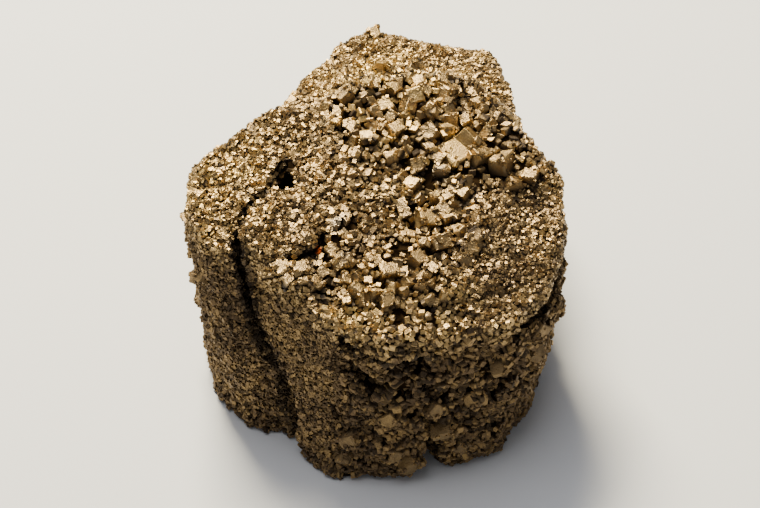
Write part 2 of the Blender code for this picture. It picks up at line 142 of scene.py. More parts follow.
# %% How the surface swells
SKIN_LUMPS = ((5.0, 0.35), (2.2, 0.15))
CLUMP_WIDTH, CLUMP_DEPTH, CLUMP_LEVEL = 1.9, 0.5, 0.85
CREASE_WIDTH = 0.3
WARP, WARP_WIDTH = 0.25, 1.1
BLOCKY_PLACES = (((5.0, -26.0, 19.0), 10.0), ((19.0, -21.0, 13.0), 7.0))
BLOCK_WIDTH, BLOCK_RISE, LEAST_SHARE = 2.6, 0.95, 0.05


def crease(point):
    """0 in the crease between two clumps and 1 well inside a clump, for a place in mm."""
    warped = point / CLUMP_WIDTH + WARP * noise.noise_vector(point / WARP_WIDTH)
    nearest = noise.voronoi(warped)[0]
    return min(1.0, (nearest[1] - nearest[0]) / CREASE_WIDTH)


def block_step(point):
    """-0.5 to 0.5, the same all over each of the squarish blocks that space is parted in."""
    return noise.cell(noise.voronoi(point / BLOCK_WIDTH, distance_metric="CHEBYCHEV")[1][0]) - 0.5


def nearness(points, middle, reach):
    """1 at a middle given from the main block, falling off smoothly past the reach."""
    return np.exp(-((points / MM + MIDDLE - middle) ** 2).sum(axis=1) / reach ** 2)


def swelling(points):
    """How far each place, in metres, swells out in mm: lumps, clumps and, in front, blocks."""
    found = []
    for point in map(Vector, points / MM):
        smooth = sum(depth * noise.noise(point / width) for width, depth in SKIN_LUMPS)
        found.append(smooth + CLUMP_DEPTH * (crease(point) - CLUMP_LEVEL))
    found = np.array(found)
    for middle, reach in BLOCKY_PLACES:
        share = nearness(points, middle, reach)
        for i in np.flatnonzero(share > LEAST_SHARE):
            found[i] += share[i] * BLOCK_RISE * block_step(Vector(points[i] / MM))
    return found


top_middle = np.array([[0.0, 0.0, main_top(0.0, 0.0)]]) - MIDDLE
print("swelling at the middle of the main top:", swelling(top_middle * MM).round(2), "mm")

# %% [markdown]
# The crust follows a skin: the solid's own surface, made uneven, so that its flat facets don't
# show. Subdividing the facets would leave long thin ones, so the copy is remeshed in voxels,
# which gives even faces everywhere, smoothed a little, and then swollen along its normals.

# %% The skin that the crust grows on
SKIN_VOXEL = 0.32


def fine_copy(name):
    """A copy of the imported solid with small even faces."""
    thing = copy_solid(name)
    apply_step(thing, "REMESH", mode="VOXEL", voxel_size=SKIN_VOXEL * MM)
    return apply_step(thing, "SMOOTH", factor=0.5, iterations=2)


skin = fine_copy("skin")
spots = places(skin.data)
spots += places(skin.data, "normal") * swelling(spots)[:, None] * MM
move_corners(skin, spots)
print("skin faces:", len(skin.data.polygons))

# %% [markdown]
# The crystals of a druse have a grain, as sand has: here from under a third of a millimetre on
# the left mass to a whole one on the coarse patches. A painted map could say where, but a list
# of round zones is easier to change. Each zone pulls the grain towards its own near its middle,
# and a slow noise keeps the borders between zones from being round.

# %% Grain of the crust from place to place
GRAIN_ZONES = (
    ((-22.0, -4.0, 40.0), 7.0, 0.29),
    ((-14.0, 6.0, 42.0), 6.0, 0.33),
    ((-14.0, -10.0, 38.0), 5.0, 0.31),
    ((4.0, 10.0, 42.0), 7.0, 1.0),
    ((13.0, 6.0, 40.0), 5.0, 0.85),
    ((-4.0, -14.0, 35.0), 4.5, 0.75),
    ((7.0, -7.0, 36.0), 4.5, 0.8),
    ((17.0, -11.0, 34.0), 7.0, 0.3),
    ((24.0, -6.0, 34.0), 5.0, 0.31),
    ((1.0, -3.0, 38.0), 4.0, 0.36),
    ((-26.0, -10.0, 18.0), 10.0, 0.34),
    ((-12.0, -22.0, 20.0), 9.0, 0.3),
    ((4.0, -27.0, 18.0), 9.0, 0.66),
    ((18.0, -22.0, 14.0), 9.0, 0.55),
    ((-3.0, 31.0, 30.0), 10.0, 0.27),
    ((10.0, 31.0, 30.0), 10.0, 0.27),
    ((0.0, 20.0, 45.0), 4.0, 0.36),
    ((14.0, 16.0, 43.0), 4.0, 0.36),
)
USUAL_GRAIN, USUAL_WEIGHT = 0.6, 0.06
GRAIN_SWING, GRAIN_SWING_WIDTH = 0.22, 3.0


def grain_size(points):
    """Spacing of the crystals in millimetres at each point, blended from the zones."""
    total = np.full(len(points), USUAL_WEIGHT)
    size = total * USUAL_GRAIN
    for middle, reach, grain in GRAIN_ZONES:
        weight = nearness(points, middle, reach)
        total += weight
        size += weight * grain
    swing = np.array([noise.noise(Vector(point) / GRAIN_SWING_WIDTH) for point in points / MM])
    return size / total * (1.0 + GRAIN_SWING * swing)


grains_on_skin = grain_size(places(skin.data))
print("grain from", grains_on_skin.min().round(2), "to", grains_on_skin.max().round(2), "mm")

# %% [markdown]
# Under the crust lies the mass, which shows only as dark gaps between the crystals. It is the
# skin once more, sunk inwards, deeper where the crystals are coarse. The grooves are narrow, so
# it needs the fine voxels, but its flat parts don't: Decimate takes faces away there.

# %% The mass under the crust
MASS_SUNK, MASS_FACES = 0.5, 120000
mass = fine_copy("mass")
apply_step(mass, "DECIMATE", ratio=MASS_FACES / 2 / len(mass.data.polygons))
spots = places(mass.data)
depth = MASS_SUNK * grain_size(spots) / USUAL_GRAIN
spots += places(mass.data, "normal") * (swelling(spots) - depth)[:, None] * MM
spots[:, 2] = np.maximum(spots[:, 2], 0.0)
move_corners(mass, spots)
print("mass faces:", len(mass.data.polygons))

# %% [markdown]
# The larger crystals are cubes with slightly blunt edges, and most have a growth step: a thin
# raised plate on a face. Some have a corner cut off by another crystal face. One of each kind is
# modelled as by hand: a cube's faces are inset and pushed out, a corner is bisected away, and a
# Bevel modifier blunts the edges. Its faces are also subdivided, so that each copy can be given
# an uneven surface of its own later.

# %% Modelling one crystal
GROWN, OUTER = 0.9, 0.45
SHARP = math.radians(40.0)


def pick_faces(form, want):
    """Selects only the faces whose direction and middle pass a test."""
    bpy.ops.mesh.select_all(action="DESELECT")
    form.faces.ensure_lookup_table()
    for face in form.faces:
        face.select = want(face)
    form.select_flush_mode()


def edit(thing):
    """Opens an object in edit mode, where faces are picked."""
    only(thing)
    bpy.ops.object.mode_set(mode="EDIT")
    bpy.ops.mesh.select_mode(type="FACE")
    return bmesh.from_edit_mesh(thing.data)


def crystal_pattern(name, steps, bevel, cut=None, cuts=0):
    """A unit cube with blunt edges, growth steps as (direction, inset, rise) and a cut corner."""
    bpy.ops.object.select_all(action="DESELECT")
    bpy.ops.mesh.primitive_cube_add(size=1.0)
    thing = bpy.context.object
    thing.name = name
    form = edit(thing)
    for direction, inset, rise in steps:
        way = Vector(direction)
        pick_faces(form, lambda face: face.normal.dot(way) > GROWN
                   and face.calc_center_median().dot(way) > OUTER)
        bmesh.update_edit_mesh(thing.data)
        bpy.ops.mesh.inset(thickness=inset, depth=rise)
        form = bmesh.from_edit_mesh(thing.data)
    bpy.ops.mesh.select_all(action="SELECT")
    if cut:
        bpy.ops.mesh.bisect(plane_co=cut, plane_no=cut, clear_outer=True, use_fill=True)
    if cuts:
        bpy.ops.mesh.select_all(action="SELECT")
        bpy.ops.mesh.subdivide(number_cuts=cuts)
    bpy.ops.object.mode_set(mode="OBJECT")
    if bevel:
        apply_step(thing, "BEVEL", width=bevel, segments=1, limit_method="ANGLE",
                   angle_limit=SHARP)
    apply_step(thing, "TRIANGULATE")
    corners = places(thing.data)
    sides = np.array([face.vertices for face in thing.data.polygons])
    bpy.data.objects.remove(thing)
    print(name, "has", len(sides), "faces")
    return corners, sides


# %% [markdown]
# Four kinds are enough: with other edges, turns and surfaces, no two copies look alike.

# %% Patterns of the large crystals
ROUGH_CUTS = 2
X, Y, Z = (1, 0, 0), (0, 1, 0), (0, 0, 1)
LARGE_PATTERNS = [
    crystal_pattern("stepped cube", ((Z, 0.1, 0.05), (X, 0.14, 0.04)), 0.035, None, ROUGH_CUTS),
    crystal_pattern("cut cube", ((Z, 0.1, 0.05),), 0.04, (0.42, 0.38, 0.36), ROUGH_CUTS),
    crystal_pattern("plain cube", ((X, 0.1, 0.03),), 0.06, None, ROUGH_CUTS),
    crystal_pattern("twice cut cube", ((Y, 0.12, 0.04),), 0.045, (-0.36, 0.4, 0.38), ROUGH_CUTS),
]

# %% [markdown]
# The solid has large crystals of its own, and each one shown is put exactly over one of those.
# The most striking ones have places of their own. On the top, a place is x and y, and on the
# front it is x and height. Then come the edges, the turn, the lean and the side leaned to.

# %% Large crystals placed one by one
LARGE_CRYSTALS = (
    ((11.4, 4.8), (4.6, 4.2, 3.4), 42.0, 16.0, 250.0),
    ((15.0, 3.9), (2.8, 2.6, 3.0), 36.0, 24.0, 300.0),
    ((5.1, 12.7), (2.8, 2.6, 2.8), 20.0, 38.0, 200.0),
    ((10.2, 14.2), (2.6, 2.8, 3.0), 50.0, 30.0, 320.0),
    ((6.2, 15.6), (2.0, 2.2, 2.4), 12.0, 25.0, 130.0),
    ((7.4, 10.4), (2.8, 2.6, 2.6), 65.0, 40.0, 240.0),
    ((7.6, 7.2), (2.6, 2.4, 2.8), 30.0, 34.0, 160.0),
    ((10.7, 10.0), (2.2, 2.4, 2.4), 80.0, 28.0, 30.0),
    ((13.4, 9.9), (1.9, 2.0, 2.2), 15.0, 30.0, 100.0),
    ((13.4, 7.0), (3.2, 2.8, 3.2), 55.0, 42.0, 290.0),
    ((10.2, 7.7), (2.0, 2.0, 3.0), 35.0, 22.0, 350.0),
    ((2.4, 6.8), (2.4, 2.0, 2.2), 45.0, 12.0, 270.0),
    ((5.4, 1.9), (2.4, 2.2, 2.2), 25.0, 35.0, 220.0),
    ((18.5, 3.2), (3.4, 3.0, 2.8), 62.0, 26.0, 30.0),
    ((20.2, 0.4), (2.4, 2.2, 2.2), 18.0, 32.0, 300.0),
    ((22.9, 1.7), (2.9, 2.4, 2.0), 70.0, 12.0, 60.0),
    ((7.0, -6.0), (3.4, 2.8, 2.8), 14.0, 20.0, 262.0),
    ((9.3, -4.2), (2.0, 2.0, 2.2), 58.0, 24.0, 190.0),
    ((11.9, -8.3), (1.8, 1.9, 2.0), 40.0, 30.0, 80.0),
    ((9.0, -9.7), (3.4, 2.6, 2.6), 28.0, 34.0, 232.0),
    ((6.4, -10.1), (1.9, 1.9, 2.2), 8.0, 14.0, 250.0),
    ((3.4, -4.7), (1.7, 3.2, 2.6), 24.0, 30.0, 170.0),
    ((5.4, -12.6), (2.4, 2.2, 2.4), 48.0, 22.0, 270.0),
    ((-11.7, -15.1), (2.6, 2.0, 2.0), 22.0, 14.0, 262.0),
    ((-14.4, -15.1), (2.2, 2.0, 2.0), 36.0, 20.0, 200.0),
    ((-16.6, -15.2), (1.8, 1.7, 1.8), 10.0, 26.0, 220.0),
    ((-9.5, -17.0), (2.3, 2.0, 2.0), 30.0, 24.0, 300.0),
    ((-13.6, -16.6), (2.0, 1.9, 2.0), 52.0, 22.0, 230.0),
    ((-11.0, -16.6), (2.2, 1.7, 1.7), 5.0, 10.0, 270.0),
    ((-1.3, -13.5), (2.1, 2.0, 2.0), 44.0, 18.0, 250.0),
    ((1.3, -14.4), (3.2, 2.4, 2.4), 16.0, 16.0, 262.0),
    ((-6.4, -14.0), (2.2, 2.0, 2.0), 34.0, 24.0, 240.0),
    ((-3.6, -17.4), (2.2, 2.0, 2.2), 60.0, 28.0, 280.0),
    ((1.0, -19.0), (2.4, 2.0, 2.2), 26.0, 24.0, 230.0),
    ((-7.2, -11.8), (1.8, 1.6, 1.8), 50.0, 30.0, 190.0),
)
FRONT_CRYSTALS = (
    ((14.2, 15.6), (2.8, 2.4, 2.2), 20.0, 24.0, 200.0),
    ((8.0, 15.4), (2.4, 2.2, 2.6), 50.0, 30.0, 120.0),
    ((9.4, 9.6), (3.2, 2.6, 2.4), 12.0, 20.0, 40.0),
    ((4.4, 3.4), (3.4, 2.8, 3.0), 34.0, 26.0, 60.0),
    ((2.2, 6.0), (2.4, 2.2, 2.2), 70.0, 18.0, 150.0),
    ((-4.9, 8.8), (2.8, 2.4, 2.4), 25.0, 14.0, 250.0),
    ((-5.6, 4.6), (2.0, 1.9, 2.2), 60.0, 28.0, 330.0),
    ((12.4, 4.8), (2.6, 2.2, 2.2), 44.0, 22.0, 90.0),
    ((17.8, 20.6), (2.4, 2.0, 2.4), 15.0, 32.0, 20.0),
    ((1.2, 14.0), (2.4, 2.0, 2.0), 38.0, 24.0, 180.0),
)
FRONT = -24.0
print("placed one by one:", len(LARGE_CRYSTALS) + len(FRONT_CRYSTALS))

# %% [markdown]
# The others come in groups: patches of coarse ones on the tops, deep-sunk blocks at the sides
# and back, and small ones all round. Each patch has a middle, a reach, a count and the limits of
# the edges. At the sides, crystals are spread over an arc and a range of heights.

# %% Groups of large crystals
TOP_PATCHES = (
    ((4.0, 9.0), (13.0, 8.0), 42, (1.4, 2.4)),
    ((0.5, -16.2), (10.5, 3.8), 20, (1.3, 2.0)),
    ((9.0, -7.0), (7.0, 9.0), 18, (1.4, 2.3)),
    ((0.0, 30.0), (18.0, 14.0), 14, (1.6, 2.6)),
)
SIDE_BLOCKS, BLOCK_EDGE, BLOCK_HEIGHTS = 28, (3.4, 6.0), (3.0, 24.0)
BLOCK_ARC = (-0.15 * math.pi, 1.15 * math.pi)
SIDE_CRYSTALS, SIDE_EDGE, SIDE_HEIGHTS = 60, (1.4, 2.8), (2.0, 36.0)
SIDE_ARC = (-0.28 * math.pi, 1.2 * math.pi)
SIDE_MIDDLE, SIDE_REACH = (-0.6, 8.4), (27.0, 33.0)
print("in groups:", sum(patch[2] for patch in TOP_PATCHES) + SIDE_BLOCKS + SIDE_CRYSTALS)

# %% [markdown]
# A crystal's attitude is a turn about the outward direction and then a lean to one side. Angles
# on an object would give the same picture, but a matrix also tells how far a direction runs
# along each of the crystal's own axes, which is needed to find its middle.

# %% Attitudes and edges of the large crystals
CRYSTAL_SEED = 61
LEAST_LEAN, MOST_LEAN = 0.1, 0.9
EDGE_RANGE = (0.85, 1.15)


def turned(outward, turn, lean, side):
    """A crystal's attitude: turned about the outward direction, then leaned to one side."""
    upright = outward.to_track_quat("Z", "Y").to_matrix()
    axis = Vector((math.cos(side), math.sin(side), 0.0))
    return upright @ Matrix.Rotation(lean, 3, axis) @ Matrix.Rotation(turn, 3, "Z")


def some_edges(chance, limits):
    """Three edges near one length, which is seldom close to either limit."""
    edge = chance.uniform(*limits) ** 0.5 * chance.uniform(*limits) ** 0.5
    return [edge * chance.uniform(*EDGE_RANGE) for axis in range(3)]


def any_attitude(chance, outward):
    """A random attitude that leans away from the outward direction."""
    return turned(outward, chance.uniform(0, math.tau), chance.uniform(LEAST_LEAN, MOST_LEAN),
                  chance.uniform(0, math.tau))


some = some_edges(random.Random(CRYSTAL_SEED), SIDE_EDGE)
print("for example, edges of", [round(edge, 2) for edge in some], "mm")

# %% [markdown]
# Scattering with a particle system would put them somewhere else than the solid has them. So
# they are drawn from a seeded generator, with the solid's own seed and in its order. Each draw
# gives a spot, the way inward, the edges and the attitude.

# %% Drawing the crystals of each group
CROWDING, TRIES = 0.6, 3


def known_crystals():
    """The crystals placed one by one."""
    up, forward = Vector((0.0, 0.0, 1.0)), Vector((0.0, -1.0, 0.0))
    for (x, y), edges, turn, lean, side in LARGE_CRYSTALS:
        attitude = turned(up, *map(math.radians, (turn, lean, side)))
        yield Vector((x, y, main_top(x, y))), -up, edges, attitude
    for (x, height), edges, turn, lean, side in FRONT_CRYSTALS:
        attitude = turned(forward, *map(math.radians, (turn, lean, side)))
        yield Vector((x, FRONT, height)), -forward, edges, attitude


def patch_crystals(chance, middle, reach, count, limits):
    """Crystals on a top, closer together towards the middle of their patch."""
    up = Vector((0.0, 0.0, 1.0))
    for _ in range(count * TRIES):
        radius, angle = chance.random() ** CROWDING, chance.uniform(0, math.tau)
        x = middle[0] + reach[0] * radius * math.cos(angle)
        y = middle[1] + reach[1] * radius * math.sin(angle)
        height = main_top(x, y) if y < REAR_START else rear_top(x, y)
        yield Vector((x, y, height)), -up, some_edges(chance, limits), any_attitude(chance, up)


def side_crystals(chance, count, limits, arc, heights):
    """Crystals at the sides, which stand outwards."""
    for _ in range(count * TRIES):
        angle, height = chance.uniform(*arc), chance.uniform(*heights)
        outward = Vector((math.cos(angle), math.sin(angle), 0.0))
        spot = Vector((SIDE_MIDDLE[0] + SIDE_REACH[0] * outward.x,
                       SIDE_MIDDLE[1] + SIDE_REACH[1] * outward.y, height))
        yield spot, -outward, some_edges(chance, limits), any_attitude(chance, outward)


print("first one on the top stands at", next(known_crystals())[0].to_tuple(1), "mm")

# %% [markdown]
# A crystal that would stand too near another of its size is passed over, until the group has its
# count. The spacing is a share of the mean size of the two, so that neighbours may touch and
# grow into each other but not coincide.

# %% Choosing which crystals stand
PATCH_SPACING, BLOCK_SPACING, SIDE_SPACING = 0.8, 0.9, 0.6


def crystal_groups(chance):
    """Each group of crystals: where they may be, how many are kept and their spacing."""
    yield known_crystals(), len(LARGE_CRYSTALS) + len(FRONT_CRYSTALS), 0.0
    for middle, reach, count, limits in TOP_PATCHES:
        yield patch_crystals(chance, middle, reach, count, limits), count, PATCH_SPACING
    blocks = side_crystals(chance, SIDE_BLOCKS, BLOCK_EDGE, BLOCK_ARC, BLOCK_HEIGHTS)
    yield blocks, SIDE_BLOCKS, BLOCK_SPACING
    smaller = side_crystals(chance, SIDE_CRYSTALS, SIDE_EDGE, SIDE_ARC, SIDE_HEIGHTS)
    yield smaller, SIDE_CRYSTALS, SIDE_SPACING


def crystal_sites():
    """Every large crystal as a spot, the way inward, its edges and its attitude."""
    taken = []
    for group, count, spacing in crystal_groups(random.Random(CRYSTAL_SEED)):
        left = count
        for spot, inward, edges, attitude in group:
            size = sum(edges) / 3
            near = any((spot - other).length < spacing * (size + wide) / 2 for other, wide in taken)
            if left and not near:
                left -= 1
                taken.append((spot, size))
                yield spot, inward, edges, attitude


sites = list(crystal_sites())
print("sites:", len(sites))

# %% [markdown]
# A site is a spot near the surface and a way inward. To find the solid's own crystal there, a
# ray is sent inwards from well outside. It meets that crystal on its outer side, and half the
# crystal's thickness further along the ray is its middle.

# %% Finding the solid's crystals
STAND_OFF = 30.0


def surface_of(thing):
    """An object's surface in a form that rays can be sent at."""
    form = bmesh.new()
    form.from_mesh(thing.data)
    tree = BVHTree.FromBMesh(form)
    form.free()
    return tree


surface = surface_of(bpy.data.objects["pyrite_cluster"])
large = []
for spot, inward, edges, attitude in sites:
    start = spot - Vector(MIDDLE) - inward * STAND_OFF
    found = surface.ray_cast(start * MM, inward)[0]
    way = attitude.transposed() @ inward
    half = min(edge / 2 / max(abs(part), 1e-6) for edge, part in zip(edges, way))
    if found:
        large.append((found / MM + inward * half, edges, attitude, -inward))
print("large crystals:", len(large))

# %% [markdown]
# Thousands of copies would be slow as objects of their own, and the finished file couldn't keep
# them as instances. Each copy's corners are worked out in one sum on arrays instead, and a
# piece is one mesh that joins them. Every corner carries four numbers that the finish reads:
# the crystal's tone, the height over its foot, how open its place is, and how far down the
# sides it is.

# %% Copies of a pattern as arrays
LOW_FROM, LOW_TO = 1.5, 6.0
CELL_FILL = 0.72


def below_top(spots):
    """0 on the sloping tops and 1 well down the sides, for places in mm."""
    x, y, z = (spots + MIDDLE).T
    depth = np.where(y < REAR_START, main_top(x, y), rear_top(x, y)) - z
    return np.clip((depth - LOW_FROM) / (LOW_TO - LOW_FROM), 0.0, 1.0)


def laid_flat(pattern):
    """Which of six sides each face of a pattern belongs to, and its corners flat on that side."""
    corners, sides = pattern
    triangles = corners[sides]
    way = np.cross(triangles[:, 1] - triangles[:, 0], triangles[:, 2] - triangles[:, 0])
    axis = np.abs(way).argmax(axis=1)
    others = np.array(((1, 2), (0, 2), (0, 1)))[axis]
    flat = np.take_along_axis(triangles, others[:, None, :], axis=2)
    return axis * 2 + (way[np.arange(len(way)), axis] > 0), 0.5 + flat * CELL_FILL


def joined(pattern, middles, axes, tones, feet, ups, sizes, opens):
    """Copies of a pattern as joined arrays of corners, faces and the numbers they carry.

    Middles and feet are in mm, and axes are 3 x 3 arrays that hold the edges. The height of a
    corner over its foot on the skin, in crystal sizes, tells the finish where crevices are.
    Last come the cell that each face has in the flat map, and its corners in that cell.
    """
    corners, sides = pattern
    side, flat = laid_flat(pattern)
    cells = (side[None] + 6 * np.arange(len(middles))[:, None]).ravel()
    spots = np.einsum("nij,kj->nki", axes, corners) + middles[:, None, :]
    height = np.einsum("nkj,nj->nk", spots - feet[:, None, :], ups) / sizes[:, None]
    faces = sides[None] + (np.arange(len(middles)) * len(corners))[:, None, None]
    spots = spots.reshape(-1, 3)
    numbers = {"tone": np.repeat(tones, len(corners)), "height": height.ravel(),
               "open": np.repeat(opens, len(corners)), "low": below_top(spots)}
    return spots * MM, faces.reshape(-1, 3), numbers, cells, np.tile(flat, (len(middles), 1, 1))


# %% [markdown]
# A finish can be baked to a picture only over a flat map in which no two faces overlap. Smart
# unwrapping would leave wide gaps round so many small islands. But each crystal has just six
# sides, so the map is a chessboard with one cell for each side of each copy, filled a little
# short of its borders.

# %% Joining the arrays in one mesh
def flat_map(mesh, parts):
    """Gives every side of every copy a square cell of its own in the mesh's flat map."""
    starts = np.cumsum([0] + [part[3].max(initial=-1) + 1 for part in parts])
    cells = np.concatenate([part[3] + start for part, start in zip(parts, starts)])
    across = math.ceil(math.sqrt(starts[-1]))
    corner = np.stack((cells % across, cells // across), axis=1)[:, None, :]
    flat = (corner + np.concatenate([part[4] for part in parts])) / across
    mesh.uv_layers.new(name="OFBake").uv.foreach_set("vector", flat.ravel())


def piece_from(name, parts):
    """An object from several joined groups, with their numbers kept on the vertices."""
    starts = np.cumsum([0] + [len(part[0]) for part in parts])
    faces = np.concatenate([part[1] + start for part, start in zip(parts, starts)])
    spots = np.concatenate([part[0] for part in parts])
    mesh = bpy.data.meshes.new(name)
    mesh.vertices.add(len(spots))
    mesh.vertices.foreach_set("co", spots.ravel())
    mesh.loops.add(faces.size)
    mesh.loops.foreach_set("vertex_index", faces.ravel())
    mesh.polygons.add(len(faces))
    mesh.polygons.foreach_set("loop_start", np.arange(len(faces)) * 3)
    mesh.polygons.foreach_set("use_smooth", np.zeros(len(faces), bool))
    for key in parts[0][2]:
        numbers = np.concatenate([part[2][key] for part in parts])
        mesh.attributes.new(key, "FLOAT", "POINT").data.foreach_set("value", numbers)
    mesh.update(calc_edges=True)
    flat_map(mesh, parts)
    thing = bpy.data.objects.new(name, mesh)
    bpy.context.scene.collection.objects.link(thing)
    print(name, "has", len(faces), "triangles")
    return thing


# %% [markdown]
# A copy needs an attitude of its own. Turning objects one by one would take minutes for tens of
# thousands, but rotation matrices can be made and multiplied for all of them in one step.

# %% Turning many copies at once
NEARLY_UP = 0.9


def spun(angles, axis):
    """Rotation matrices about one of the three axes."""
    made = np.zeros((len(angles), 3, 3))
    a, b = (axis + 1) % 3, (axis + 2) % 3
    made[:, axis, axis] = 1.0
    made[:, a, a] = made[:, b, b] = np.cos(angles)
    made[:, a, b], made[:, b, a] = -np.sin(angles), np.sin(angles)
    return made


def standing(ups):
    """Axes whose third one is along each of the given directions."""
    helper = np.where(np.abs(ups[:, 2:]) < NEARLY_UP, [[0.0, 0.0, 1.0]], [[1.0, 0.0, 0.0]])
    across = np.cross(helper, ups)
    across /= np.linalg.norm(across, axis=1)[:, None]
    return np.stack((across, np.cross(ups, across), ups), axis=2)


print("upright axes:", standing(np.array([[0.0, 0.0, 1.0]])).tolist())

# %% [markdown]
# Real crystals are never quite square, and their faces are uneven where growth layers end. Each
# large one is a copy of one of the four patterns, slightly sheared, whose corners are then moved
# by noise at two widths. It is a little smaller than the solid's own, so that the noise doesn't
# push it out past that one.

# %% The large crystals
dice = np.random.default_rng(SEED)
LARGE_FIT = 0.95
SHEAR = 0.035
ROUGH = ((0.9, 0.13), (0.4, 0.07))
groups = []
kinds = dice.integers(len(LARGE_PATTERNS), size=len(large))
for kind, pattern in enumerate(LARGE_PATTERNS):
    chosen = [crystal for crystal, this in zip(large, kinds) if this == kind]
    centres = np.array([centre for centre, edges, attitude, up in chosen])
    axes = np.array([np.array(attitude) * edges for centre, edges, attitude, up in chosen])
    axes *= LARGE_FIT
    length = np.linalg.norm(axes, axis=1).mean(axis=1)[:, None, None]
    axes += dice.normal(0.0, SHEAR, axes.shape) * length
    ups = np.array([up for centre, edges, attitude, up in chosen])
    least = np.array([min(edges) for centre, edges, attitude, up in chosen])
    groups.append(joined(pattern, centres, axes, dice.random(len(chosen)), centres, ups, least,
                         np.ones(len(chosen))))
for spots, *others in groups:
    for width, depth in ROUGH:
        spots += np.array([noise.noise_vector(Vector(spot) / width) * depth
                           for spot in spots / MM]) * MM
    spots[:, 2] = np.maximum(spots[:, 2], 0.0)
large_crystals = piece_from("large_crystals", groups)

# %% [markdown]
# Small crystals also sit on the large ones, most of them near the edges, where growth starts.
# They are spread over the faces that don't look down, at places pushed towards the rim by a
# power under 1. Those near the foot of a large crystal are marked as less open, so they get
# painted shade.

# %% Small crystals on the large ones
RIDERS_PER_MM2 = 1.1
RIDER_EDGE, RIDER_UNEVEN, RIDER_LEAN = (0.24, 0.55), (0.8, 1.2), 0.5
RIM_PULL = 0.45
LOOKS_DOWN = -0.3
OPEN_AT_MIDDLE, LEAST_SHOWN = 0.75, 0.2
small_cube = crystal_pattern("small cube", (), 0.0)
spots, ups, shown = [], [], []
for centre, edges, attitude, up in large:
    attitude, edges = np.array(attitude), np.array(edges) * LARGE_FIT
    for axis, sign in ((a, s) for a in range(3) for s in (-1, 1)):
        way = attitude[:, axis] * sign
        others = [a for a in range(3) if a != axis]
        number_here = dice.poisson(RIDERS_PER_MM2 * edges[others].prod())
        if way @ np.array(up) > LOOKS_DOWN:
            place = dice.uniform(-1.0, 1.0, (number_here, 3))
            place = np.sign(place) * np.abs(place) ** RIM_PULL
            place[:, axis] = sign
            away = (place * edges / 2) @ attitude.T
            spots.append(np.array(centre) + away)
            ups.append(np.tile(way, (number_here, 1)))
            height = away @ np.array(up) / edges.min()
            # Less open near the foot of the large crystal, where the finish paints shade.
            shown.append(np.clip(OPEN_AT_MIDDLE + height, LEAST_SHOWN, 1.0))
spots, ups, shown = map(np.concatenate, (spots, ups, shown))
rider_count = len(spots)
rider_edges = dice.uniform(*RIDER_EDGE, (rider_count, 1))
rider_edges = rider_edges * dice.uniform(*RIDER_UNEVEN, (rider_count, 3))
angles = dice.random((3, rider_count)) * ((math.tau,), (RIDER_LEAN,), (math.tau,))
axes = standing(ups) @ spun(angles[2], 2) @ spun(angles[1], 0) @ spun(angles[0], 2)
axes *= rider_edges[:, None, :]
spots[:, 2] = np.maximum(spots[:, 2], np.abs(axes[:, 2]).sum(axis=1) / 2)
riders = piece_from("crystals_on_large", [joined(
    small_cube, spots, axes, dice.random(rider_count),
    spots, ups, rider_edges[:, 0], shown)])

# %% [markdown]
# The druse is grown on points spread over the skin so that no two are nearer than the grain
# there. Geometry Nodes can spread such points, but only at one spacing at a time, so it is
# run once for each of a few spacings, and each run keeps the points where its spacing is meant.
# Each run is asked for more points than fit, so that the spacing decides how many there are.

# %% Spreading points over the skin
POINT_EXCESS = 6.0
SPACINGS = (0.3, 0.38, 0.5, 0.68, 0.9, 1.2)
LARGEST_GRAIN = 9.0
OFF_FLOOR = 0.3


def spread(thing, spacing, seed):
    """Points on an object no nearer than the spacing in mm, as arrays of places and normals."""
    group = bpy.data.node_groups.new("spread", "GeometryNodeTree")
    for way in ("INPUT", "OUTPUT"):
        group.interface.new_socket("Geometry", in_out=way, socket_type="NodeSocketGeometry")
    nodes, links = group.nodes, group.links
    start, end = nodes.new("NodeGroupInput"), nodes.new("NodeGroupOutput")
    points = nodes.new("GeometryNodeDistributePointsOnFaces")
    points.distribute_method = "POISSON"
    points.inputs["Distance Min"].default_value = spacing * MM
    points.inputs["Density Max"].default_value = POINT_EXCESS / (spacing * MM) ** 2
    points.inputs["Seed"].default_value = seed
    keep = nodes.new("GeometryNodeStoreNamedAttribute")
    keep.data_type, keep.domain = "FLOAT_VECTOR", "POINT"
    keep.inputs["Name"].default_value = "outward"
    corners = nodes.new("GeometryNodePointsToVertices")
    links.new(start.outputs[0], points.inputs["Mesh"])
    links.new(points.outputs["Points"], keep.inputs["Geometry"])
    links.new(points.outputs["Normal"], keep.inputs["Value"])
    links.new(keep.outputs["Geometry"], corners.inputs["Points"])
    links.new(corners.outputs["Mesh"], end.inputs[0])
    cloud = bpy.data.objects.new("points", thing.data.copy())
    bpy.context.scene.collection.objects.link(cloud)
    apply_step(cloud, "NODES", node_group=group)
    outward = np.empty(len(cloud.data.vertices) * 3)
    cloud.data.attributes["outward"].data.foreach_get("vector", outward)
    found = places(cloud.data) / MM, outward.reshape(-1, 3)
    bpy.data.objects.remove(cloud)
    bpy.data.node_groups.remove(group)
    return found


limits = [0.0, *[math.sqrt(a * b) for a, b in zip(SPACINGS, SPACINGS[1:])], LARGEST_GRAIN]
centres, outward, grains = [], [], []
for step, spacing in enumerate(SPACINGS):
    found, normals = spread(skin, spacing, SEED + step)
    size = grain_size(found * MM)
    here = (size >= limits[step]) & (size < limits[step + 1])
    here &= found[:, 2] > OFF_FLOOR * spacing
    centres.append(found[here])
    outward.append(normals[here])
    grains.append(np.full(here.sum(), spacing))
    print("spacing", spacing, "mm:", here.sum(), "crystals")
centres, outward, grains = map(np.concatenate, (centres, outward, grains))
count = len(centres)

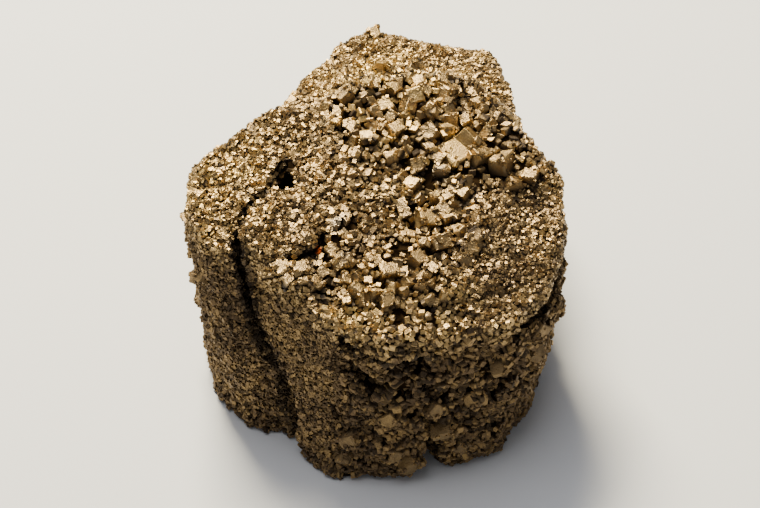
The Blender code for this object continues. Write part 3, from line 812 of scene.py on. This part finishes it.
# %% [markdown]
# Real druse crystals lean every way, yet neighbours often share a direction, which makes whole
# patches flash together. So the skin is parted in patches round random points, each patch has
# one attitude, and a crystal takes either its patch's attitude or one of its own. Each is also
# skewed a little, because perfectly square cubes look machine-made.

# %% Attitudes of the small crystals
PATCHES, PATCH_SHARE, PATCH_WANDER = 1400, 0.6, 0.12
LEAN, SKEW = 0.62, 0.11
tree = KDTree(PATCHES)
for i, k in enumerate(dice.integers(count, size=PATCHES)):
    tree.insert(centres[k], i)
tree.balance()
patch = np.array([tree.find(centre)[1] for centre in centres])
angles = dice.random((3, count)) * ((math.tau,), (LEAN,), (math.tau,))
patch_angles = dice.random((3, PATCHES)) * ((math.tau,), (LEAN,), (math.tau,))
shared = dice.random(count) < PATCH_SHARE
wander = dice.normal(0.0, PATCH_WANDER, (3, count))
turns, leans, sides = np.where(shared, patch_angles[:, patch] + wander, angles)
attitudes = standing(outward) @ spun(sides, 2) @ spun(leans, 0) @ spun(turns, 2)
attitudes = attitudes + dice.normal(0.0, SKEW, attitudes.shape)
print("crystals that share an attitude:", shared.sum())

# %% [markdown]
# A crystal is wider than the spacing, so that neighbours grow into each other and no skin shows
# between them. Its edges differ, a few crystals have outgrown the others, and each is sunk in
# the skin by its own amount.

# %% Sizes of the small crystals
WIDTH, UNEVEN = (1.05, 1.45), (0.82, 1.18)
LARGER_SHARE, LARGER = 0.04, 1.5
SUNK, SUNK_RANGE = 0.25, (-0.15, 0.35)
edges = grains[:, None] * dice.uniform(*WIDTH, (count, 1))
edges = edges * dice.uniform(*UNEVEN, (count, 3))
edges *= np.where(dice.random(count) < LARGER_SHARE, LARGER, 1.0)[:, None]
tones = dice.random(count)
sunk = SUNK * edges.min(axis=1) + dice.uniform(*SUNK_RANGE, count) * grains
middles = centres - outward * sunk[:, None]
print("edges from", edges.min().round(2), "to", edges.max().round(2), "mm")

# %% [markdown]
# A small crystal inside a large one can't be seen, so it is left out. It is inside when its
# middle is a little less than half an edge away along each of the large one's own axes.

# %% Crystals buried in the large ones
HALF_EDGE = 0.48
buried = np.zeros(count, bool)
for centre, edges_of, attitude, up in large:
    half = np.array(edges_of) * HALF_EDGE
    near = np.flatnonzero(((middles - centre) ** 2).sum(axis=1) < (half ** 2).sum())
    inside = (np.abs((middles[near] - centre) @ np.array(attitude)) < half).all(axis=1)
    buried[near[inside]] = True
print("buried:", buried.sum())

# %% [markdown]
# A crystal that would fill a crack or a pit must be small or not there at all. Rays tell how
# much room there is: one along the normal measures the way to the other wall, and a dozen over
# the half sphere measure how open the place is. The same number later darkens closed places
# with painted shade.

# %% Room and openness of each place
ROOM, ROOM_LIFT, ROOM_SHARE = 2.2, 0.15, 0.6
OPEN_REACH, OPEN_RAYS, OPEN_LIFT, UPWARD = 6.0, 12, 0.3, 1.1
skin_surface = surface_of(skin)


def free_way(start, way, reach):
    """How far a ray gets before it meets the skin, up to a reach, in mm."""
    hit = skin_surface.ray_cast(Vector(start) * MM, Vector(way), reach * MM)[3]
    return reach if hit is None else hit / MM


room = np.array([free_way(c + ROOM_LIFT * n, n, ROOM) for c, n in zip(centres, outward)])
rays = dice.normal(size=(OPEN_RAYS, 3))
rays /= np.linalg.norm(rays, axis=1)[:, None]


def openness(starts, ups):
    """The open share of the half sphere over each place, from rays of a limited reach."""
    found = np.empty(len(starts))
    for i, (start, up) in enumerate(zip(starts + OPEN_LIFT * ups, ups)):
        reached = 0.0
        for ray in rays + up * UPWARD:
            reached += free_way(start, ray / math.sqrt(ray @ ray), OPEN_REACH)
        found[i] = reached / OPEN_REACH / OPEN_RAYS
    return found


open_share = openness(centres, outward)
print("open share from", open_share.min().round(2), "to", open_share.max().round(2))
edges *= np.minimum(1.0, ROOM_SHARE * room / edges.max(axis=1))[:, None]

# %% [markdown]
# Closed places stay bare, and so do the pockets between coarse crystals, which a noise picks
# out on the tops. The hole in the top is kept clear by a few circles, and the crack by a path
# down the front that has a width at each of its points. Near the crack the crust is darkened
# too, a painted shade.

# %% Clearing the pockets, the hole and the crack
LEAST_ROOM = 0.5
LEAST_OPEN, LEAST_OPEN_COARSE, COARSE_FROM = 0.42, 0.6, 0.55
POCKET_LEVEL = 0.5
HOLES = (((-14.3, -1.0), 1.55), ((-13.6, 1.6), 0.75), ((-14.6, 0.6), 0.8))
POCKET_WIDTH, POCKET_FROM, POCKET_GRAIN = 1.8, 0.24, 0.6
CRACK_PATH = (
    ((-21.2, -12.2, 36.0), 0.6), ((-20.4, -13.8, 31.0), 0.6), ((-19.4, -15.2, 25.5), 0.7),
    ((-18.0, -16.8, 20.5), 1.3), ((-15.2, -18.8, 15.0), 2.3), ((-14.6, -20.4, 10.0), 2.9),
    ((-15.0, -21.4, 5.0), 2.5), ((-15.4, -22.0, 0.0), 1.7))
CRACK_CLEAR, CRACK_SHADE_REACH, DARKEST_CRACK_SHADE = 0.3, 0.9, 0.25
least_open = np.where(grains > COARSE_FROM, LEAST_OPEN_COARSE, LEAST_OPEN)
kept = ~(buried | (room < LEAST_ROOM) | (open_share < least_open))
pockets = np.array([noise.noise(Vector(centre) / POCKET_WIDTH) for centre in centres])
kept &= (pockets < POCKET_FROM) | (grains < POCKET_GRAIN) | (outward[:, 2] < POCKET_LEVEL)
for hole, reach in HOLES:
    kept &= (((centres + MIDDLE)[:, :2] - hole) ** 2).sum(axis=1) > reach ** 2
# Painted shade near the crack: 1 far from it, down to the darkest share at its walls.
crack_shade = np.ones(count)
for (start, wide), (end, wide_end) in zip(CRACK_PATH, CRACK_PATH[1:]):
    way, from_start = np.array(end) - start, centres + MIDDLE - start
    along = np.clip(from_start @ way / (way @ way), 0.0, 1.0)
    away = np.linalg.norm(from_start - along[:, None] * way, axis=1)
    width = wide + along * (wide_end - wide)
    kept &= away > 0.5 * width + CRACK_CLEAR
    crack_shade = np.minimum(crack_shade, np.clip(away / (width + CRACK_SHADE_REACH), DARKEST_CRACK_SHADE, 1.0))
print("small crystals:", kept.sum())

# %% [markdown]
# The specimen stands on a flat break, so a crystal that would reach below it is lifted until it
# doesn't. Then the druse is joined in one piece for each side, which keeps each piece under
# 200,000 triangles. The finest crystals are plain cubes, some with a cut corner, and the coarse
# ones have blunt edges that catch the light.

# %% The druse, one piece for each side
BLUNT_FROM, CUT_SHARE = 0.6, 0.25
LOOKS_UP, LOOKS_FRONT, LOOKS_LEFT, LOOKS_RIGHT = 0.55, -0.5, -0.3, 0.5
CREASE_SHADE = 0.45
SMALL_PATTERNS = [
    small_cube,
    crystal_pattern("small cut cube", (), 0.0, (0.4, 0.36, 0.34)),
    crystal_pattern("blunt cube", (), 0.1),
]
lowest = middles[:, 2] - (np.abs(attitudes[:, 2]) * edges).sum(axis=1) / 2
middles[:, 2] -= np.minimum(lowest, 0.0)
across, along, up = outward.T
facing = np.select((up > LOOKS_UP, along < LOOKS_FRONT, across < LOOKS_LEFT,
                    across > LOOKS_RIGHT), (0, 1, 2, 3), 4)
creases = np.array([crease(Vector(centre)) for centre in centres])
# How much painted shade each crystal gets: closed places, the crack and creases are darker.
opens = open_share * crack_shade * (1.0 - CREASE_SHADE * (1.0 - creases))
druse = []
kinds = np.where(grains > BLUNT_FROM, 2, (dice.random(count) < CUT_SHARE).astype(int))
for side, name in enumerate(("top", "front", "left", "right", "back")):
    groups = []
    for kind, pattern in enumerate(SMALL_PATTERNS):
        chosen = kept & (facing == side) & (kinds == kind)
        axes = attitudes[chosen] * edges[chosen][:, None, :]
        groups.append(joined(pattern, middles[chosen], axes, tones[chosen], centres[chosen],
                             outward[chosen], grains[chosen], opens[chosen]))
    druse.append(piece_from("druse_" + name, groups))
bpy.data.objects.remove(skin)

# %% [markdown]
# ## The finish
# Pyrite is a brassy metal that tarnishes to bronze and brown. Node by node, the sums of such a
# finish are long to write and hard to read. A small class lets sockets be added and multiplied
# as numbers are, and each operator adds its Math node.

# %% Writing shader maths as expressions
class Value:
    """A socket that arithmetic can be written with."""

    def __init__(self, finish, socket):
        self.finish, self.socket = finish, socket

    def maths(self, operation, *others):
        """Any operation of the Math node, with this value as its first number."""
        return self.finish.node("ShaderNodeMath", {"operation": operation},
                                dict(enumerate((self, *others))))

    def __add__(self, other):
        return self.maths("ADD", other)

    def __sub__(self, other):
        return self.maths("SUBTRACT", other)

    def __rsub__(self, other):
        return (self * -1.0).maths("ADD", other)

    def __mul__(self, other):
        return self.maths("MULTIPLY", other)

    __radd__, __rmul__ = __add__, __mul__

    def between(self, low, high):
        """0 below low, 1 above high and a smooth rise between them."""
        return self.finish.node("ShaderNodeMapRange", {"interpolation_type": "SMOOTHSTEP"},
                                {"Value": self, "From Min": low, "From Max": high})


# %% [markdown]
# Every other node comes from one method, which takes the node's type, its settings and what
# feeds its sockets. A few short methods name what is used often: a noise as wide as a length on
# the object, a number kept on the corners, and a mix of two colours. Patterns are placed by
# Object coordinates, so they stay where they are on the specimen.

# %% A finish made of nodes
class Finish:
    """A material whose nodes are added one by one."""

    def __init__(self, name):
        self.material = bpy.data.materials.new(name)
        self.material.use_nodes = True
        self.nodes, self.links = self.material.node_tree.nodes, self.material.node_tree.links
        self.surface = self.nodes["Principled BSDF"]
        self.place = self.node("ShaderNodeTexCoord", output="Object")

    def node(self, kind, settings=None, inputs=None, output=0):
        """Adds a node, with its settings first and then the values or links of its sockets."""
        made = self.nodes.new(kind)
        for key, value in (settings or {}).items():
            if key == "stops":
                for stop, (place, colour) in zip(self.stops(made.color_ramp, value), value):
                    stop.position, stop.color = place, (*colour, 1.0)
            else:
                setattr(made, key, value)
        for key, value in (inputs or {}).items():
            self.feed(made.inputs[key], value)
        return Value(self, made.outputs[output])

    def stops(self, ramp, wanted):
        """A ramp's stops, as many as are wanted."""
        while len(ramp.elements) < len(wanted):
            ramp.elements.new(1.0)
        return ramp.elements

    def feed(self, socket, value):
        """Links a value to a socket, or sets a plain number or colour on it."""
        if isinstance(value, Value):
            self.links.new(value.socket, socket)
        else:
            socket.default_value = value

    def set(self, **values):
        """Feeds the sockets of the surface, named with _ for a space."""
        for key, value in values.items():
            self.feed(self.surface.inputs[key.replace("_", " ")], value)

    def noise(self, width):
        """A noise whose lumps are about the given width in millimetres."""
        return self.node("ShaderNodeTexNoise", {},
                         {"Vector": self.place, "Scale": 1.0 / (width * MM), "Detail": 3.0})

    def kept(self, name):
        """A number that the piece carries on its vertices."""
        return self.node("ShaderNodeAttribute", {"attribute_name": name}, output="Fac")

    def mixed(self, share, first, second):
        """Two colours mixed, from all of the first at 0 to all of the second at 1."""
        return self.node("ShaderNodeMix", {"data_type": "RGBA"},
                         {0: share, 6: first, 7: second}, output=2)


# %% [markdown]
# Fresh pyrite is pale gold, and tarnish turns it bronze, brown and nearly black. A ramp holds
# these colours in order, and a shade picks one: it adds up the crystal's own tone and noises of
# three widths. It is lowered down the sides as painted shade, and it is raised at some listed
# places and lowered at others, partly painted light and shade and partly tarnish. A few places
# are silvery, and one speck is orange rust.

# %% Colours, and the places in mm and reaches where they gather
GOLD_STOPS = ((0.0, (0.055, 0.038, 0.023)), (0.3, (0.155, 0.108, 0.064)),
              (0.62, (0.44, 0.31, 0.145)), (1.0, (0.98, 0.70, 0.21)))
# Painted shade, put in crevices and towards the foot of each crystal.
CREVICE_SHADE = (0.022, 0.013, 0.007, 1.0)
DULL = (0.27, 0.20, 0.11, 1.0)
SILVER = (0.30, 0.27, 0.23, 1.0)
SILVER_PLACES = (((-6.2, -8.0, 37.5), 2.2), ((-5.0, -13.0, 35.5), 1.8), ((9.0, 0.5, 39.5), 2.4))
# Painted light and shade, partly tarnish: places in mm, reaches and how much the shade changes.
PAINTED_LIGHT_AND_TARNISH = (((-23.0, -2.0, 40.0), 13.0, 0.14), ((0.0, 34.0, 30.0), 17.0, 0.13),
                  ((20.0, -10.0, 34.0), 14.0, -0.12), ((-28.0, -8.0, 18.0), 14.0, -0.09),
                  ((5.0, 9.0, 42.0), 13.0, 0.12), ((2.0, 21.0, 29.5), 9.0, -0.2),
                  ((14.0, 20.0, 29.5), 9.0, -0.18), ((-1.0, 15.5, 44.8), 4.5, 0.12),
                  ((9.0, 17.5, 44.6), 5.0, 0.12), ((-2.0, -20.0, 32.5), 8.0, 0.11))
SILVER_SHARE = 0.75
SPECK = (0.55, 0.10, 0.008, 1.0)
SPECK_PLACE, SPECK_REACH = (-9.2, -12.0, 36.2), 0.75
print("places with a tarnish of their own:", len(PAINTED_LIGHT_AND_TARNISH))

# %% [markdown]
# The finish is metal where a face is out of the painted shade. Towards the foot of a crystal and
# in closed places it has painted shade, darker and less metallic, which parts the crystals from
# each other. The pores are one noise that changes colour, roughness and bump together, as real
# pits do. A dull share and the heights between which the painted shade ends set the large
# crystals apart from the druse.

# %% The finish of the crystals
TONE_SHARE, LOW_SHARE, SHADE_START = 0.22, 0.16, 0.17
PATCHY, CLOUDY, PORES = (6.0, 0.5), (0.7, 0.3), (0.22, 0.4)
OPEN_RANGE = (0.4, 0.85)
LESS_SHADE_ON_SIDES, SHADED_METAL = 0.22, 0.5
ROUGH_TONE, ROUGH_PORES, ROUGH_SIDES, SMOOTH_UNSHADED = 0.1, 0.2, 0.25, 0.2


def near(finish, place, reach, softness=1.0):
    """1 near a place given in mm from the main block, falling to 0 at the reach."""
    middle = [value * MM for value in np.array(place) - MIDDLE]
    away = finish.node("ShaderNodeVectorMath", {"operation": "DISTANCE"},
                       {0: finish.place, 1: middle}, output="Value")
    return 1.0 - away.between(reach * MM * (1.0 - softness), reach * MM)


def crystal_finish(name, roughness, bump_depth, dull, shade_heights):
    """Tarnished metal with painted shade in crevices, over a range of heights above the foot."""
    finish = Finish(name)
    tone, height, openly, low = map(finish.kept, ("tone", "height", "open", "low"))
    pores = finish.noise(PORES[0])
    shade = tone * TONE_SHARE + pores * PORES[1]
    for width, share in (PATCHY, CLOUDY):
        shade = shade + finish.noise(width) * share
    # Painted shade: the colour is darker lower down the sides.
    shade = shade - SHADE_START - low * LOW_SHARE
    # Painted light and shade, partly tarnish, at the listed places.
    for place, reach, change in PAINTED_LIGHT_AND_TARNISH:
        shade = shade + near(finish, place, reach) * change
    colour = finish.node("ShaderNodeValToRGB", {"stops": GOLD_STOPS}, {"Fac": shade})
    colour = finish.mixed(dull, colour, DULL)
    grey = near(finish, *SILVER_PLACES[0])
    for place in SILVER_PLACES[1:]:
        grey = grey + near(finish, *place)
    colour = finish.mixed(grey * SILVER_SHARE, colour, SILVER)
    # Painted shade: darker, less metallic and rougher towards the foot of each crystal and in
    # closed places, a little less so down the sides.
    unshaded = height.between(*shade_heights) * openly.between(*OPEN_RANGE)
    unshaded = (unshaded + low * openly * LESS_SHADE_ON_SIDES).maths("MINIMUM", 1.0)
    colour = finish.mixed(unshaded, CREVICE_SHADE, colour)
    speck = near(finish, SPECK_PLACE, SPECK_REACH, 0.5)
    colour = finish.mixed(speck, colour, SPECK)
    bump = finish.node("ShaderNodeBump", {}, {"Height": pores, "Strength": 1.0,
                                              "Distance": bump_depth * MM})
    metal = (unshaded * (1.0 - SHADED_METAL) + SHADED_METAL) * (1.0 - speck)
    rough = tone * ROUGH_TONE + pores * ROUGH_PORES + low * ROUGH_SIDES + roughness
    finish.set(Base_Color=colour, Metallic=metal, Roughness=rough - unshaded * SMOOTH_UNSHADED,
               Normal=bump)
    return finish.material


crystals = crystal_finish("pyrite crystals", 0.43, 0.11, 0.0, (-0.45, 0.2))
dull_crystals = crystal_finish("large pyrite crystals", 0.46, 0.13, 0.45, (-0.35, 0.4))
print("finishes:", crystals.name, "and", dull_crystals.name)

# %% [markdown]
# The mass is seen only through gaps and in the crack. There it is nearly black as painted shade,
# so that the gaps read as deep shadow, and it is rough and without any shine, because even a faint
# reflection would make the gaps look grey.

# %% The finish of the mass, and what each piece is made of
GAP_SHADE_WIDTH = 1.0
GAP_SHADE_DEEP, GAP_SHADE_FAINT = (0.010, 0.006, 0.003, 1.0), (0.025, 0.015, 0.007, 1.0)
# Painted shade: the mass is nearly black so that the gaps between crystals read as deep shadow.
gap_shade = Finish("rock under the crust")
gap_shade.set(Base_Color=gap_shade.mixed(gap_shade.noise(GAP_SHADE_WIDTH), GAP_SHADE_DEEP, GAP_SHADE_FAINT),
         Metallic=0.0, Roughness=1.0, Specular_IOR_Level=0.0)
own_finish = {mass: gap_shade.material, large_crystals: dull_crystals}
for thing in (large_crystals, riders, *druse, mass):
    thing.data.materials.append(own_finish.get(thing, crystals))
    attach(thing, "root")
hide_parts("pyrite_cluster")
print("pieces:", 3 + len(druse))

# %% [markdown]
# ## The floor, the camera and the light
# The floor is one large sheet of pale paper. It is slightly cool, because the main lamp is warm
# and the two together look neutral.

# %% The floor
FLOOR_SIZE = 6.0
PAPER = (0.58, 0.61, 0.67, 1.0)
bpy.ops.object.select_all(action="DESELECT")
bpy.ops.mesh.primitive_plane_add(size=FLOOR_SIZE)
floor = bpy.context.object
floor.name = "floor"
paper = Finish("paper")
paper.set(Base_Color=PAPER, Roughness=0.9)
floor.data.materials.append(paper.material)
print("floor:", FLOOR_SIZE, "m wide")

# %% [markdown]
# A specimen is shown from the front and well above, so that its top is seen as a face and not
# as an edge. The camera stands far enough away for a long lens, which keeps the blocks from
# leaning apart.

# %% The camera
TARGET = np.array((0.0, 0.0, 22.0))
CAMERA_DISTANCE, CAMERA_HEIGHT = 299.0, math.radians(48.0)
LENS, SENSOR = 90.0, 36.0
sight = np.array((0.0, math.cos(CAMERA_HEIGHT), -math.sin(CAMERA_HEIGHT)))
spot = (TARGET - sight * CAMERA_DISTANCE - MIDDLE) * MM
lens = bpy.data.cameras.new("camera")
lens.lens, lens.sensor_width = LENS, SENSOR
lens.clip_start = 0.01
camera = bpy.data.objects.new("camera", lens)
camera.location = spot
camera.rotation_euler = (math.radians(90.0) - CAMERA_HEIGHT, 0.0, 0.0)
bpy.context.scene.collection.objects.link(camera)
bpy.context.scene.camera = camera
print("camera at", [round(value, 3) for value in camera.location], "m")

# %% [markdown]
# Metal shows its surroundings, so the lamps make or break it. One fairly small warm lamp behind
# and to the left makes single faces flash while their neighbours stay dark, which is what a
# druse looks like. A large soft one above and an even pale world lift the shaded front.

# %% The light
LAMP_TARGET = Vector((0.0, 0.0, 0.025))
WARM, SOFT_WHITE = (1.0, 0.86, 0.58), (1.0, 0.97, 0.93)


def area_light(name, azimuth, height, distance, size, power, colour):
    """A square lamp that looks at the middle of the specimen."""
    data = bpy.data.lights.new(name, "AREA")
    data.size, data.energy, data.color = size, power, colour
    lamp = bpy.data.objects.new(name, data)
    way = Vector((math.cos(height) * math.cos(azimuth), math.cos(height) * math.sin(azimuth),
                  math.sin(height)))
    lamp.location = way * distance + LAMP_TARGET
    lamp.rotation_euler = way.to_track_quat("Z", "Y").to_euler()
    bpy.context.scene.collection.objects.link(lamp)
    return lamp


lamps = [
    area_light("key", azimuth=math.radians(112.0), height=math.radians(54.0), distance=0.5,
               size=0.18, power=12.2, colour=WARM),
    area_light("fill", azimuth=math.radians(150.0), height=math.radians(78.0), distance=0.7,
               size=0.5, power=3.0, colour=SOFT_WHITE),
]
world = bpy.data.worlds.new("studio")
bpy.context.scene.world = world
world.use_nodes = True
surroundings = world.node_tree.nodes["Background"]
surroundings.inputs["Color"].default_value = (0.98, 0.95, 0.92, 1.0)
surroundings.inputs["Strength"].default_value = 0.23
print("lamps:", [lamp.name for lamp in lamps])
